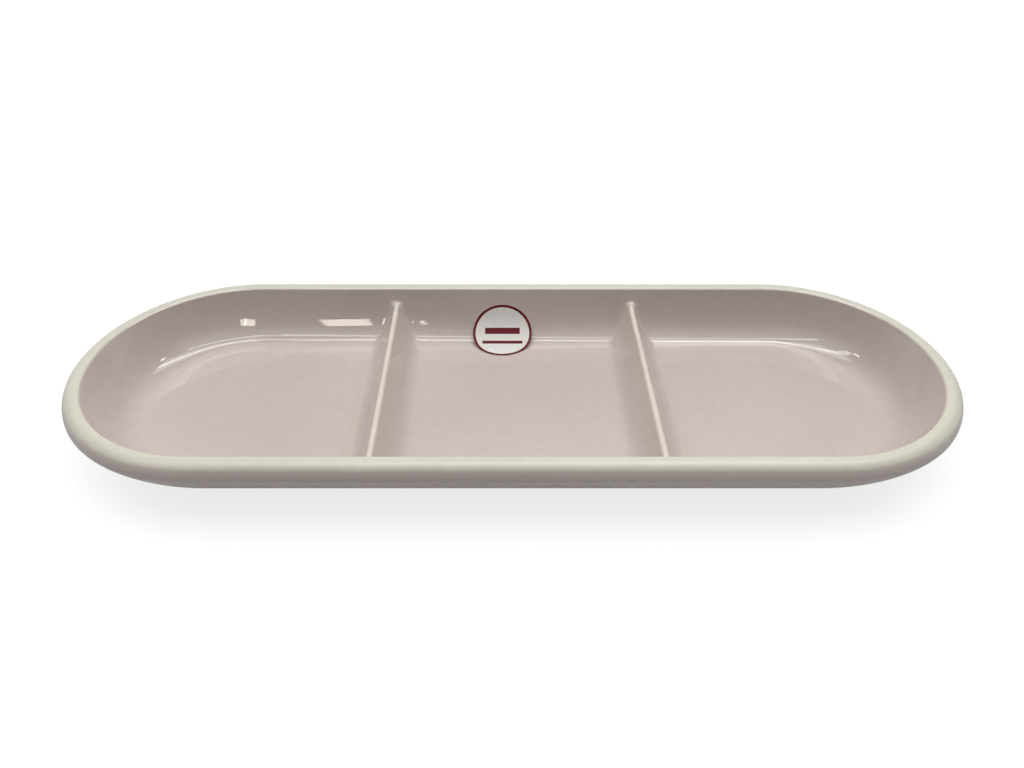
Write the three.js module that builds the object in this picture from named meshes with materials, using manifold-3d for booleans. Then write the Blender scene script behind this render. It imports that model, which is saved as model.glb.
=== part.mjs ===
// A long serving dish in glazed stoneware: half-round ends, a thick lip, two partitions and three wells.
// Millimetres. +X runs along the dish, +Y across it and +Z up.
// The origin is the middle of the plane that the foot ring rests on.

import * as THREE from 'three';
import { mergeVertices } from 'three/addons/utils/BufferGeometryUtils.js';
import loadManifold from 'manifold-3d';

const wasm = await loadManifold();
wasm.setup();
const degrees = THREE.MathUtils.degToRad;

// Overall size
const LENGTH = 300;
const WIDTH = 107;
const HEIGHT = 24;

// Lip: a quarter ellipse either side of the crest, given by its half width and its drop
const LIP_OUTER_WIDTH = 4.05;
const LIP_OUTER_DROP = 4.6;
const LIP_INNER_WIDTH = 4.6;
const LIP_INNER_DROP = 8;
const LIP_INNER_SWEEP = degrees(60);

// Cream band on the lip, by the angle that it covers either side of the crest
const BAND_INNER_SWEEP = degrees(27);
const BAND_OUTER_SWEEP = degrees(29);
const BAND_SEAM = degrees(3);

// Inside: a flat floor, a cove and a sloping wall, drawn as one curve with a handle at each end
const FLOOR_THICKNESS = 4.2;
const FLOOR_INSET = 18;
const WALL_HANDLE = 11;
const COVE_HANDLE = 2.7;

// Outside: the wall slopes in to a ledge above the foot ring
const OUTER_WALL_HANDLE = 2.8;
const LEDGE_WIDTH = 1;
const LEDGE_HANDLE = 4;
const LEDGE_SLOPE = degrees(32);
const FOOT_INSET = 16;
const FOOT_WIDTH = 4.5;
const FOOT_HEIGHT = 1.8;
const FOOT_CHAMFER = 0.4;

// Partitions: a rounded ridge on two sloping flanks that run out in coves on the floor
const LEFT_DIVIDER_X = -44.7;
const LEFT_DIVIDER_TURN = degrees(0.9);
const RIGHT_DIVIDER_X = 46.6;
const RIGHT_DIVIDER_TURN = degrees(0.3);
const RIDGE_DROP = 6.5;
const RIDGE_RADIUS = 1.2;
const RIDGE_BAND_WIDTH = 2.2;
const FLANK_SLOPE = degrees(66);
const FLANK_HANDLE = 6.5;
const DIVIDER_BASE_WIDTH = 19.4;
const DIVIDER_COVE_HANDLE = 3.6;
const CLAY_STRIP_WIDTH = 12.8;

// Glaze coats, the bond under them and the seams between them
const GLAZE = 0.5;
const BOND = 0.15;
const SEAM = 0.3;

// Round paper label, stuck to the floor and the far wall of the centre well and bent over the cove
const LABEL_RADIUS = 11.7;
const LABEL_THICKNESS = 0.15;
const LABEL_X = -4;
const LABEL_MIDDLE = 38.95;
const LABEL_BEND = 16.5;
const LABEL_WALL_HEIGHT = 13;

// Facets
const END_STEPS = 20;
const WALL_STEPS = 8;
const LIP_STEPS = 4;
const BAND_STEPS = 3;
const RIDGE_STEPS = 4;
const FLANK_STEPS = 5;
const LABEL_RINGS = 5;
const LABEL_STEPS = 28;
const LABEL_BEND_STEPS = 8;
const MERGE_DISTANCE = 1e-4;

// Places that follow from the sizes
const outerRadius = WIDTH / 2;
const straightHalf = LENGTH / 2 - outerRadius;
const crestRadius = outerRadius - LIP_OUTER_WIDTH;
const floorRadius = outerRadius - FLOOR_INSET;
const floorTop = FOOT_HEIGHT + FLOOR_THICKNESS;
const footRadius = outerRadius - FOOT_INSET;
const footInnerRadius = footRadius - FOOT_WIDTH;
const ridgeTop = HEIGHT - RIDGE_DROP;
const clayDepth = GLAZE + BOND;
const quarterTurn = Math.PI / 2;

const clayMaterial = { color: 0xdcd3c4, roughness: 0.85, metalness: 0 };
const mauveMaterial = { color: 0xc9b8b4, roughness: 0.18, metalness: 0 };
const creamMaterial = { color: 0xe2dfcf, roughness: 0.2, metalness: 0 };
const paperMaterial = { color: 0xefece6, roughness: 0.6, metalness: 0 };

// Profile curves, as points of radius and height

function lipArc(width, drop, fromAngle, toAngle, steps) {
  const arc = new THREE.EllipseCurve(crestRadius, HEIGHT - drop, width, drop, fromAngle, toAngle, true);
  return arc.getPoints(steps);
}

function innerLip(fromSweep, toSweep, steps) {
  return lipArc(LIP_INNER_WIDTH, LIP_INNER_DROP, quarterTurn + fromSweep, quarterTurn + toSweep, steps);
}

function outerLip(fromSweep, toSweep, steps) {
  return lipArc(LIP_OUTER_WIDTH, LIP_OUTER_DROP, quarterTurn - fromSweep, quarterTurn - toSweep, steps);
}

// The point that lies a given length from another, along a direction
function pointAlong(point, direction, length) {
  return direction.clone().normalize().multiplyScalar(length).add(point);
}

function innerWall() {
  const wallTop = innerLip(LIP_INNER_SWEEP, 0, 1)[0];
  const sin = Math.sin(LIP_INNER_SWEEP);
  const cos = Math.cos(LIP_INNER_SWEEP);
  const downWall = new THREE.Vector2(-LIP_INNER_WIDTH * cos, -LIP_INNER_DROP * sin);
  const floorEdge = new THREE.Vector2(floorRadius, floorTop);
  const coveHandle = pointAlong(floorEdge, new THREE.Vector2(1, 0), COVE_HANDLE);
  const wallHandle = pointAlong(wallTop, downWall, WALL_HANDLE);
  return new THREE.CubicBezierCurve(floorEdge, coveHandle, wallHandle, wallTop).getPoints(WALL_STEPS);
}

function outerWall() {
  const widest = new THREE.Vector2(outerRadius, HEIGHT - LIP_OUTER_DROP);
  const widestHandle = pointAlong(widest, new THREE.Vector2(0, -1), OUTER_WALL_HANDLE);
  const ledge = new THREE.Vector2(footRadius + LEDGE_WIDTH, FOOT_HEIGHT);
  const upLedge = new THREE.Vector2(Math.cos(LEDGE_SLOPE), Math.sin(LEDGE_SLOPE));
  const ledgeHandle = pointAlong(ledge, upLedge, LEDGE_HANDLE);
  return new THREE.CubicBezierCurve(widest, widestHandle, ledgeHandle, ledge).getPoints(WALL_STEPS);
}

// The finished surface in three stretches, from the floor over the lip to the foot
const wellStretch = [
  new THREE.Vector2(floorRadius - COVE_HANDLE, floorTop),
  ...innerWall(),
  ...innerLip(LIP_INNER_SWEEP, BAND_INNER_SWEEP + BAND_SEAM, BAND_STEPS).slice(1),
];
const rimStretch = [
  ...innerLip(BAND_INNER_SWEEP, 0, BAND_STEPS),
  ...outerLip(0, BAND_OUTER_SWEEP, BAND_STEPS).slice(1),
];
const outerStretch = [
  ...outerLip(BAND_OUTER_SWEEP + BAND_SEAM, quarterTurn, LIP_STEPS),
  ...outerWall().slice(1),
];
const finished = [...wellStretch, ...rimStretch, ...outerStretch];
const rimStart = wellStretch.length;
const outerStart = rimStart + rimStretch.length;

// A profile moved to the right of its run, which is into the clay, by an even depth
function sunk(profile, depth) {
  const last = profile.length - 1;
  return profile.map((point, i) => {
    const before = point.clone().sub(profile[Math.max(i - 1, 0)]);
    const after = profile[Math.min(i + 1, last)].clone().sub(point);
    const back = i > 0 ? before.normalize() : after.clone().normalize();
    const ahead = i < last ? after.normalize() : back.clone();
    const run = back.clone().add(ahead).normalize();
    const reach = depth / run.dot(back);
    return new THREE.Vector2(point.x + run.y * reach, point.y - run.x * reach);
  });
}

const glazeBack = sunk(finished, GLAZE);
const claySurface = sunk(finished, clayDepth);

// Solids

// The outline of the dish at one radius, counter-clockwise from above
function outline(radius) {
  const path = new THREE.Path();
  path.absarc(straightHalf, 0, radius, -quarterTurn, quarterTurn);
  path.absarc(-straightHalf, 0, radius, quarterTurn, quarterTurn + Math.PI);
  return path.getPoints(END_STEPS / 2);
}

function meshOf(positions, triangles) {
  const geometry = new THREE.BufferGeometry();
  geometry.setAttribute('position', new THREE.Float32BufferAttribute(positions, 3));
  geometry.setIndex(triangles);
  return geometry;
}

// A profile carried round the outline, either closed on itself or with a flat floor at each end
function sweep(profile, closed) {
  const rings = profile.map((point) => outline(point.x));
  const count = rings[0].length;
  const positions = rings.flatMap((ring, i) => ring.flatMap((p) => [p.x, p.y, profile[i].y]));
  const triangles = [];
  const bands = closed ? rings.length : rings.length - 1;
  for (let i = 0; i < bands; i += 1) {
    const next = (i + 1) % rings.length;
    for (let j = 0; j < count; j += 1) {
      const a = i * count + j;
      const b = i * count + (j + 1) % count;
      const c = next * count + (j + 1) % count;
      const d = next * count + j;
      triangles.push(a, b, c, a, c, d);
    }
  }
  if (!closed) {
    const lastRing = (rings.length - 1) * count;
    for (const [a, b, c] of THREE.ShapeUtils.triangulateShape(rings[0], [])) {
      triangles.push(c, b, a);
    }
    for (const [a, b, c] of THREE.ShapeUtils.triangulateShape(rings[rings.length - 1], [])) {
      triangles.push(lastRing + a, lastRing + b, lastRing + c);
    }
  }
  return meshOf(positions, triangles);
}

function toSolid(geometry) {
  const bare = geometry.clone();
  bare.deleteAttribute('normal');
  bare.deleteAttribute('uv');
  const merged = mergeVertices(bare, MERGE_DISTANCE);
  return new wasm.Manifold(new wasm.Mesh({
    numProp: 3,
    vertProperties: new Float32Array(merged.attributes.position.array),
    triVerts: new Uint32Array(merged.index.array),
  }));
}

function toGeometry(solid) {
  const mesh = solid.getMesh();
  return meshOf(Array.from(mesh.vertProperties), Array.from(mesh.triVerts));
}

// A coat between the finished surface and its back, as a closed ring
function coatRing(from, to) {
  const back = glazeBack.slice(from, to);
  const front = finished.slice(from, to).reverse();
  return sweep([...back, ...front], true);
}

function trayBody() {
  const recessTop = FOOT_HEIGHT + clayDepth;
  const foot = [
    new THREE.Vector2(footInnerRadius, recessTop),
    new THREE.Vector2(footInnerRadius, FOOT_CHAMFER),
    new THREE.Vector2(footInnerRadius + FOOT_CHAMFER, 0),
    new THREE.Vector2(footRadius - FOOT_CHAMFER, 0),
    new THREE.Vector2(footRadius, FOOT_CHAMFER),
    new THREE.Vector2(footRadius, FOOT_HEIGHT),
  ];
  return sweep([...foot, ...claySurface.slice().reverse()], false);
}

function baseGlaze() {
  const radius = footInnerRadius - SEAM;
  const face = new THREE.Vector2(radius, FOOT_HEIGHT);
  const back = new THREE.Vector2(radius, FOOT_HEIGHT + GLAZE);
  return sweep([face, back], false);
}

// Half of a partition's section on its finished surface, from the floor up to the top of the ridge
function flankHalf() {
  const ridgeCentre = ridgeTop - RIDGE_RADIUS;
  const shoulderAngle = quarterTurn - FLANK_SLOPE;
  const ridge = new THREE.EllipseCurve(
    0, ridgeCentre, RIDGE_RADIUS, RIDGE_RADIUS, shoulderAngle, quarterTurn,
  ).getPoints(RIDGE_STEPS);
  const downFlank = new THREE.Vector2(Math.cos(FLANK_SLOPE), -Math.sin(FLANK_SLOPE));
  const floorEdge = new THREE.Vector2(DIVIDER_BASE_WIDTH / 2, floorTop);
  const coveHandle = pointAlong(floorEdge, new THREE.Vector2(-1, 0), DIVIDER_COVE_HANDLE);
  const flankHandle = pointAlong(ridge[0], downFlank, FLANK_HANDLE);
  const flank = new THREE.CubicBezierCurve(floorEdge, coveHandle, flankHandle, ridge[0]);
  return [...flank.getPoints(FLANK_STEPS), ...ridge.slice(1)];
}

// Places a solid that is made about its own ridge line
function placed(geometry, divider) {
  return geometry.rotateZ(divider.turn).translate(divider.x, 0, 0);
}

// A partition's section sunk by a depth and run right across the dish
function dividerBar(divider, depth) {
  const half = flankHalf();
  const mirrored = half.map((p) => new THREE.Vector2(-p.x, p.y));
  const surface = sunk([...mirrored, ...half.reverse().slice(1)], depth);
  const base = surface[surface.length - 1].x;
  const section = new THREE.Shape([
    new THREE.Vector2(-base, 0),
    new THREE.Vector2(base, 0),
    ...surface.reverse(),
  ]);
  const bar = new THREE.ExtrudeGeometry(section, { depth: WIDTH, steps: 1, bevelEnabled: false });
  bar.rotateX(quarterTurn).translate(0, WIDTH / 2, 0);
  return toSolid(placed(bar, divider));
}

// A block centred on a partition's ridge line, between two heights
function ridgeBlock(divider, width, from, to) {
  const block = new THREE.BoxGeometry(width, WIDTH * 2, to - from);
  block.translate(0, 0, (from + to) / 2);
  return toSolid(placed(block, divider));
}

// Everything to one side of a partition's ridge line, starting at an offset from it
function sideBlock(divider, side, offset) {
  const block = new THREE.BoxGeometry(LENGTH, WIDTH * 2, HEIGHT * 2);
  block.translate(side * LENGTH / 2 + offset, 0, HEIGHT);
  return toSolid(placed(block, divider));
}

const leftDivider = { x: LEFT_DIVIDER_X, turn: LEFT_DIVIDER_TURN };
const rightDivider = { x: RIGHT_DIVIDER_X, turn: RIGHT_DIVIDER_TURN };
const dividers = [leftDivider, rightDivider];

// The clay of a partition fills its glaze and stands on the tray
function dividerClay(divider) {
  const bowl = toSolid(sweep(glazeBack.slice(0, rimStart), false));
  const strip = ridgeBlock(divider, CLAY_STRIP_WIDTH, 0, HEIGHT);
  return toGeometry(dividerBar(divider, clayDepth).intersect(bowl).intersect(strip));
}

// The whole inside coat: the bowl's coat, opened under each partition and carried over its flanks
function insideCoat() {
  const back = glazeBack.slice(0, rimStart);
  const front = finished.slice(0, rimStart).reverse();
  const middle = sunk(finished, GLAZE / 2).slice(0, rimStart);
  const reach = toSolid(sweep(middle, false));
  let coat = toSolid(sweep([...back, ...front], false));
  for (const divider of dividers) {
    const core = dividerBar(divider, GLAZE);
    const flanks = dividerBar(divider, 0).subtract(core).intersect(reach);
    coat = coat.subtract(core).add(flanks);
  }
  return coat;
}

const coat = insideCoat();
const bandFoot = ridgeTop - RIDGE_BAND_WIDTH / 2 - GLAZE;
const bandTop = ridgeTop + GLAZE / 2;

function ridgeGlaze(divider) {
  return toGeometry(coat.intersect(ridgeBlock(divider, RIDGE_BAND_WIDTH, bandFoot, bandTop)));
}

// The coat less the bands on the ridges, which the wells share out between them
function coatBesideRidges() {
  let rest = coat;
  for (const divider of dividers) {
    rest = rest.subtract(ridgeBlock(divider, RIDGE_BAND_WIDTH + SEAM * 2, bandFoot - SEAM, bandTop + SEAM));
  }
  return rest;
}

const wellCoat = coatBesideRidges();

function leftWellGlaze() {
  return toGeometry(wellCoat.intersect(sideBlock(leftDivider, -1, -SEAM / 2)));
}

function centreWellGlaze() {
  const beside = wellCoat.subtract(sideBlock(leftDivider, -1, SEAM / 2));
  return toGeometry(beside.subtract(sideBlock(rightDivider, 1, -SEAM / 2)));
}

function rightWellGlaze() {
  return toGeometry(wellCoat.intersect(sideBlock(rightDivider, 1, SEAM / 2)));
}

// The label's line: along the floor, in one bend over the cove, then up the far wall
function labelLine() {
  const upper = wellStretch.findIndex((p) => p.y > LABEL_WALL_HEIGHT);
  const foot = wellStretch[upper - 1];
  const wall = wellStretch[upper].clone().sub(foot).normalize();
  const corner = pointAlong(foot, wall, (floorTop - foot.y) / wall.y);
  const lean = wall.angle();
  const bendStart = corner.x - LABEL_BEND * Math.tan(lean / 2);
  const bend = new THREE.EllipseCurve(
    bendStart, floorTop + LABEL_BEND, LABEL_BEND, LABEL_BEND, -quarterTurn, lean - quarterTurn,
  ).getPoints(LABEL_BEND_STEPS);
  const bendTop = bend[bend.length - 1].y;
  const above = wellStretch.filter((p) => p.y > bendTop + BOND);
  return [new THREE.Vector2(0, floorTop), ...bend, ...above];
}

// A point at a length along the label's line, counted from the long axis, and its normal
function onLabelLine(path, length) {
  let start = 0;
  let i = 1;
  while (i < path.length - 1 && length > start + path[i].distanceTo(path[i - 1])) {
    start += path[i].distanceTo(path[i - 1]);
    i += 1;
  }
  const run = path[i].clone().sub(path[i - 1]);
  const place = pointAlong(path[i - 1], run, length - start);
  const normal = new THREE.Vector2(-run.y, run.x).normalize();
  return { place, normal };
}

// A thin disc with rings of points, about its own axis
function flatLabel() {
  const under = [];
  const over = [];
  for (let ring = 0; ring <= LABEL_RINGS; ring += 1) {
    const radius = LABEL_RADIUS * ring / LABEL_RINGS;
    under.push(new THREE.Vector2(radius, 0));
    over.unshift(new THREE.Vector2(radius, LABEL_THICKNESS));
  }
  const disc = new THREE.LatheGeometry([...under, ...over], LABEL_STEPS);
  disc.deleteAttribute('normal');
  disc.deleteAttribute('uv');
  return mergeVertices(disc, MERGE_DISTANCE);
}

// The disc laid on the floor and the far wall, with its bond under it
function roundLabel() {
  const label = flatLabel();
  const path = labelLine();
  const position = label.attributes.position;
  for (let i = 0; i < position.count; i += 1) {
    const { place, normal } = onLabelLine(path, LABEL_MIDDLE - position.getZ(i));
    const lift = BOND + position.getY(i);
    const across = place.x + normal.x * lift;
    const up = place.y + normal.y * lift;
    position.setXYZ(i, LABEL_X + position.getX(i), across, up);
  }
  return label;
}

// Scene graph: one named mesh for each piece
const dish = new THREE.Group();

function addPiece(name, geometry, look) {
  const mesh = new THREE.Mesh(geometry, new THREE.MeshStandardMaterial(look));
  mesh.name = name;
  dish.add(mesh);
}

addPiece('tray_body', trayBody(), clayMaterial);
addPiece('divider_left', dividerClay(leftDivider), clayMaterial);
addPiece('divider_right', dividerClay(rightDivider), clayMaterial);
addPiece('well_glaze_left', leftWellGlaze(), mauveMaterial);
addPiece('well_glaze_centre', centreWellGlaze(), mauveMaterial);
addPiece('well_glaze_right', rightWellGlaze(), mauveMaterial);
addPiece('ridge_glaze_left', ridgeGlaze(leftDivider), creamMaterial);
addPiece('ridge_glaze_right', ridgeGlaze(rightDivider), creamMaterial);
addPiece('rim_glaze', coatRing(rimStart, outerStart), creamMaterial);
addPiece('outer_glaze', coatRing(outerStart, finished.length), mauveMaterial);
addPiece('base_glaze', baseGlaze(), mauveMaterial);
addPiece('round_label', roundLabel(), paperMaterial);

export default dish;
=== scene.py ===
# A long serving dish in glazed stoneware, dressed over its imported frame.
# Sizes are in millimetres here and are turned into metres when a mesh is made.
# +X runs along the dish, +Y across it to the far side, +Z up from the table.

import math

import bpy
import numpy as np
from mathutils import Matrix, Quaternion, Vector


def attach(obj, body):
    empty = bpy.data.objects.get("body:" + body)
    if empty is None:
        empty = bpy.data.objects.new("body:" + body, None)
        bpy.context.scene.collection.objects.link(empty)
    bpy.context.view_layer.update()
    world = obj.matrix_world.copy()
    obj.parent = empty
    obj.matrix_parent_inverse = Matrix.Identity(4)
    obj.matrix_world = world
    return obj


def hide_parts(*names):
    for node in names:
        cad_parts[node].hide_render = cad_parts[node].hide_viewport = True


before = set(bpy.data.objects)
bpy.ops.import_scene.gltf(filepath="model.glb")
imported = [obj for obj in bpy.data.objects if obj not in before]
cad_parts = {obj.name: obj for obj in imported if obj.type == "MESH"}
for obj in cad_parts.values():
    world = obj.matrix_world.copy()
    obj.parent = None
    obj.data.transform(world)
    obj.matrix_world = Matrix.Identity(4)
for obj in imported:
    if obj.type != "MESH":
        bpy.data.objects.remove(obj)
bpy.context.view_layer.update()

MM = 0.001

# Overall size
LENGTH = 300.0
WIDTH = 107.0
HEIGHT = 24.0

# Lip: part of an ellipse either side of the crest
LIP_OUTER_WIDTH = 4.05
LIP_OUTER_DROP = 4.6
LIP_INNER_WIDTH = 2.235
LIP_INNER_DROP = 1.03
LIP_INNER_SWEEP = math.radians(80)
BAND_INNER_SWEEP = math.radians(60)
BAND_OUTER_SWEEP = math.radians(29)

# Inside: a flat floor, a cove and a sloping wall
FLOOR_THICKNESS = 4.2
FLOOR_INSET = 18.0
WALL_HANDLE = 14.6
COVE_HANDLE = 2.7

# At the round ends the cove is softer, over this share of the turn
END_FLOOR_INSET = 20.8
END_COVE_HANDLE = 5.6
END_SOFT_FROM = 0.0
END_SOFT_FULL = 0.85

# Outside: the wall slopes in to a ledge above the foot ring
OUTER_WALL_HANDLE = 2.8
LEDGE_WIDTH = 1.0
LEDGE_HANDLE = 4.0
LEDGE_SLOPE = math.radians(32)
FOOT_INSET = 16.0
FOOT_WIDTH = 4.5
FOOT_HEIGHT = 1.8
FOOT_ROUND = 0.7

# Partitions: a rounded ridge on two sloping flanks
LEFT_DIVIDER_X = -44.7
LEFT_DIVIDER_TURN = math.radians(0.9)
RIGHT_DIVIDER_X = 46.6
RIGHT_DIVIDER_TURN = math.radians(0.3)
RIDGE_DROP = 6.5
RIDGE_RADIUS = 1.2
RIDGE_BAND_HALF = 1.1
FLANK_SLOPE = math.radians(66)
FLANK_HANDLE = 6.5
DIVIDER_BASE_HALF = 9.7
DIVIDER_COVE_HANDLE = 3.6

# How a partition runs into the wall
BLEND_POWER = 5.0
RIDGE_FADE_FROM = 44.5
RIDGE_FADE_TO = 47.3

# The pale line on a ridge. Its piece ends at a radius, and its colour at a
# radius plus the climb above the ridge, with a small flare that is a painted
# highlight where the ridge runs up into the wall.
RIDGE_LINE_END = 45.2
RIDGE_LINE_HALF = 0.75
RIDGE_LINE_SOFT = 0.7
RIDGE_PALE_END = 46.3
RIDGE_HIGHLIGHT_FLARE = 2.2
RIDGE_HIGHLIGHT_BACK = 0.8
RIDGE_HIGHLIGHT_REACH = 0.9

# Glaze and paper
GLAZE = 0.5
CLAY_DEPTH = 0.52
LABEL_RADIUS = 11.6
LABEL_THICKNESS = 0.13
LABEL_LIFT = 0.03
LABEL_X = -4.0
LABEL_MIDDLE = 38.95
LABEL_BEND = 16.5
LABEL_WALL_HEIGHT = 13.0
LABEL_LEAN_STEP = 0.1
JUST_ABOVE = 1e-6

# Brim of the base coat: steps in from its edge, and down from its face
BASE_GAP = 0.02
BASE_BRIM = (
    (0.0, 0.55), (0.12, 0.6), (0.3, 0.35), (0.65, 0.1), (1.2, 0.0),
    (4.0, 0.0),
)

# Facets and small steps
END_STEPS = 64
STRAIGHT_STEPS = 28
TABLE_STEPS = 600
WALL_STEPS = 28
LIP_STEPS = 10
ROUND_STEPS = 6
HAIRLINE = 0.012
NORMAL_REACH = 0.04
LEAST_RADIUS = 1.0
SPOT_DIGITS = 4
WELD = 2e-6
SHARP_ANGLE = math.radians(40)
NO_CREAM = 9.0

# Places that follow from the sizes
outer_radius = WIDTH / 2
straight_half = LENGTH / 2 - outer_radius
crest_radius = outer_radius - LIP_OUTER_WIDTH
floor_radius = outer_radius - FLOOR_INSET
floor_top = FOOT_HEIGHT + FLOOR_THICKNESS
foot_radius = outer_radius - FOOT_INSET
foot_inner = foot_radius - FOOT_WIDTH
ridge_top = HEIGHT - RIDGE_DROP


# Section curves, as rows of radius and height

def bezier(start, first, second, end, steps):
    t = np.linspace(0.0, 1.0, steps + 1)[:, None]
    s = 1.0 - t
    out = s ** 3 * start + 3 * s * s * t * first
    return out + 3 * s * t * t * second + t ** 3 * end


def inner_lip(sweep):
    radius = crest_radius - LIP_INNER_WIDTH * np.sin(sweep)
    height = HEIGHT - LIP_INNER_DROP * (1 - np.cos(sweep))
    return np.stack([radius, height], axis=-1)


def outer_lip(sweep):
    radius = crest_radius + LIP_OUTER_WIDTH * np.sin(sweep)
    height = HEIGHT - LIP_OUTER_DROP * (1 - np.cos(sweep))
    return np.stack([radius, height], axis=-1)


def along(angle):
    return np.array([math.cos(angle), math.sin(angle)])


def inner_wall(steps, inset=FLOOR_INSET, handle=COVE_HANDLE):
    top = inner_lip(LIP_INNER_SWEEP)
    down = np.array([
        -LIP_INNER_WIDTH * math.cos(LIP_INNER_SWEEP),
        -LIP_INNER_DROP * math.sin(LIP_INNER_SWEEP),
    ])
    down = down / np.linalg.norm(down)
    edge = np.array([outer_radius - inset, floor_top])
    cove = edge + np.array([handle, 0.0])
    return bezier(edge, cove, top + down * WALL_HANDLE, top, steps)


def outer_wall(steps):
    widest = np.array([outer_radius, HEIGHT - LIP_OUTER_DROP])
    ledge = np.array([foot_radius + LEDGE_WIDTH, FOOT_HEIGHT])
    first = widest - np.array([0.0, OUTER_WALL_HANDLE])
    second = ledge + LEDGE_HANDLE * along(LEDGE_SLOPE)
    return bezier(widest, first, second, ledge, steps)


def flank_half(steps):
    centre = ridge_top - RIDGE_RADIUS
    shoulder = math.pi / 2 - FLANK_SLOPE
    angles = np.linspace(shoulder, math.pi / 2, steps + 1)
    ridge = np.stack([
        RIDGE_RADIUS * np.cos(angles),
        centre + RIDGE_RADIUS * np.sin(angles),
    ], axis=-1)
    edge = np.array([DIVIDER_BASE_HALF, floor_top])
    cove = edge - np.array([DIVIDER_COVE_HANDLE, 0.0])
    lower = ridge[0] + FLANK_HANDLE * along(-FLANK_SLOPE)
    flank = bezier(edge, cove, lower, ridge[0], steps)
    return np.vstack([flank, ridge[1:]])


def run_length(section):
    steps = np.linalg.norm(np.diff(section, axis=0), axis=1)
    return np.concatenate([[0.0], np.cumsum(steps)])


def sunk(section, depth):
    """The section moved to the right of its run by an even depth."""
    run = np.gradient(section, axis=0)
    run = run / np.linalg.norm(run, axis=1)[:, None]
    return section + depth * np.stack([run[:, 1], -run[:, 0]], axis=-1)


# Fine tables of the inside, read by radius and by offset from a ridge

lip_sweeps = np.linspace(LIP_INNER_SWEEP, 0.0, TABLE_STEPS)
bowl_table = np.vstack([
    [[0.0, floor_top]],
    inner_wall(TABLE_STEPS),
    inner_lip(lip_sweeps)[1:],
])
end_table = np.vstack([
    [[0.0, floor_top]],
    inner_wall(TABLE_STEPS, END_FLOOR_INSET, END_COVE_HANDLE),
    inner_lip(lip_sweeps)[1:],
])
bowl_run = run_length(bowl_table) - floor_radius
flank_table = flank_half(TABLE_STEPS)[::-1]
band_edge = inner_lip(BAND_INNER_SWEEP)
band_run = np.interp(band_edge[0], bowl_table[:, 0], bowl_run)

dividers = {
    "left": (LEFT_DIVIDER_X, LEFT_DIVIDER_TURN),
    "right": (RIGHT_DIVIDER_X, RIGHT_DIVIDER_TURN),
}


def smooth_step(low, high, value):
    t = np.clip((value - low) / (high - low), 0.0, 1.0)
    return t * t * (3 - 2 * t)


def radius_at(x, y):
    return np.hypot(x - np.clip(x, -straight_half, straight_half), y)


def offset_from(divider, x, y):
    middle, turn = divider
    return (x - middle) * math.cos(turn) + y * math.sin(turn)


def inside_height(x, y):
    radius = radius_at(x, y)
    bowl = np.interp(radius, bowl_table[:, 0], bowl_table[:, 1])
    soft = np.interp(radius, end_table[:, 0], end_table[:, 1])
    beyond = np.maximum(np.abs(x) - straight_half, 0.0)
    turned = beyond / np.maximum(radius, LEAST_RADIUS)
    share = smooth_step(END_SOFT_FROM, END_SOFT_FULL, turned)
    bowl = bowl + share * (soft - bowl)
    total = (bowl - floor_top) ** BLEND_POWER
    fade = 1.0 - smooth_step(RIDGE_FADE_FROM, RIDGE_FADE_TO, radius)
    for divider in dividers.values():
        offset = np.abs(offset_from(divider, x, y))
        rise = np.interp(offset, flank_table[:, 0], flank_table[:, 1])
        total = total + ((rise - floor_top) * fade) ** BLEND_POWER
    return floor_top + total ** (1 / BLEND_POWER)


def inside_normals(x, y):
    reach = NORMAL_REACH
    east = inside_height(x + reach, y) - inside_height(x - reach, y)
    north = inside_height(x, y + reach) - inside_height(x, y - reach)
    normals = np.stack([-east, -north, np.full_like(x, 2 * reach)], axis=-1)
    return normals / np.linalg.norm(normals, axis=-1)[..., None]


# Outlines

def end_angles():
    return np.linspace(-math.pi / 2, math.pi / 2, END_STEPS + 1)


def outline(places):
    """Base point and outward direction of each step round the dish."""
    steps = []
    for angle in end_angles():
        steps.append((straight_half, math.cos(angle), math.sin(angle)))
    for x in places[::-1]:
        steps.append((x, 0.0, 1.0))
    for angle in end_angles():
        steps.append((-straight_half, -math.cos(angle), -math.sin(angle)))
    for x in places:
        steps.append((x, 0.0, -1.0))
    return np.array(steps)


# Making meshes

def add_marks(mesh, marks):
    for name, values in marks.items():
        layer = mesh.attributes.new(name, "FLOAT", "POINT")
        layer.data.foreach_set("value", np.asarray(values, dtype=np.float32))


def add_object(name, mesh, finish):
    piece = bpy.data.objects.new(name, mesh)
    bpy.context.scene.collection.objects.link(piece)
    mesh.materials.clear()
    mesh.materials.append(finish)
    return piece


def coat(name, points, normals, faces, depth, marks, finish):
    """A closed coat: its face, its back and the edge between them."""
    used = sorted({i for face in faces for i in face})
    place = {old: new for new, old in enumerate(used)}
    count = len(used)
    front = [tuple(place[i] for i in face) for face in faces]
    back = [tuple(i + count for i in face[::-1]) for face in front]
    sides = set()
    for face in front:
        sides.update(zip(face, face[1:] + face[:1]))
    rim = [(a, b) for a, b in sorted(sides) if (b, a) not in sides]
    walls = [(b, a, a + count, b + count) for a, b in rim]
    surface = points[used]
    facing = normals[used]
    verts = np.vstack([surface, surface - depth * facing]) * MM
    mesh = bpy.data.meshes.new(name)
    mesh.from_pydata(verts.tolist(), [], front + back + walls)
    add_marks(mesh, {k: np.tile(v[used], 2) for k, v in marks.items()})
    mesh.shade_smooth()
    mesh.update()
    both = np.vstack([facing, -facing])
    corners = [tuple(both[i]) for face in front + back for i in face]
    start = len(front) + len(back)
    for polygon in mesh.polygons[start:]:
        corners.extend([tuple(polygon.normal)] * len(polygon.vertices))
    mesh.normals_split_custom_set(corners)
    return add_object(name, mesh, finish)


# Adding nodes

def put(tree, kind, x, y, **settings):
    item = tree.nodes.new(kind)
    item.location = (x, y)
    for key, value in settings.items():
        setattr(item, key, value)
    return item


def join(tree, source, target):
    tree.links.new(source, target)


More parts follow.
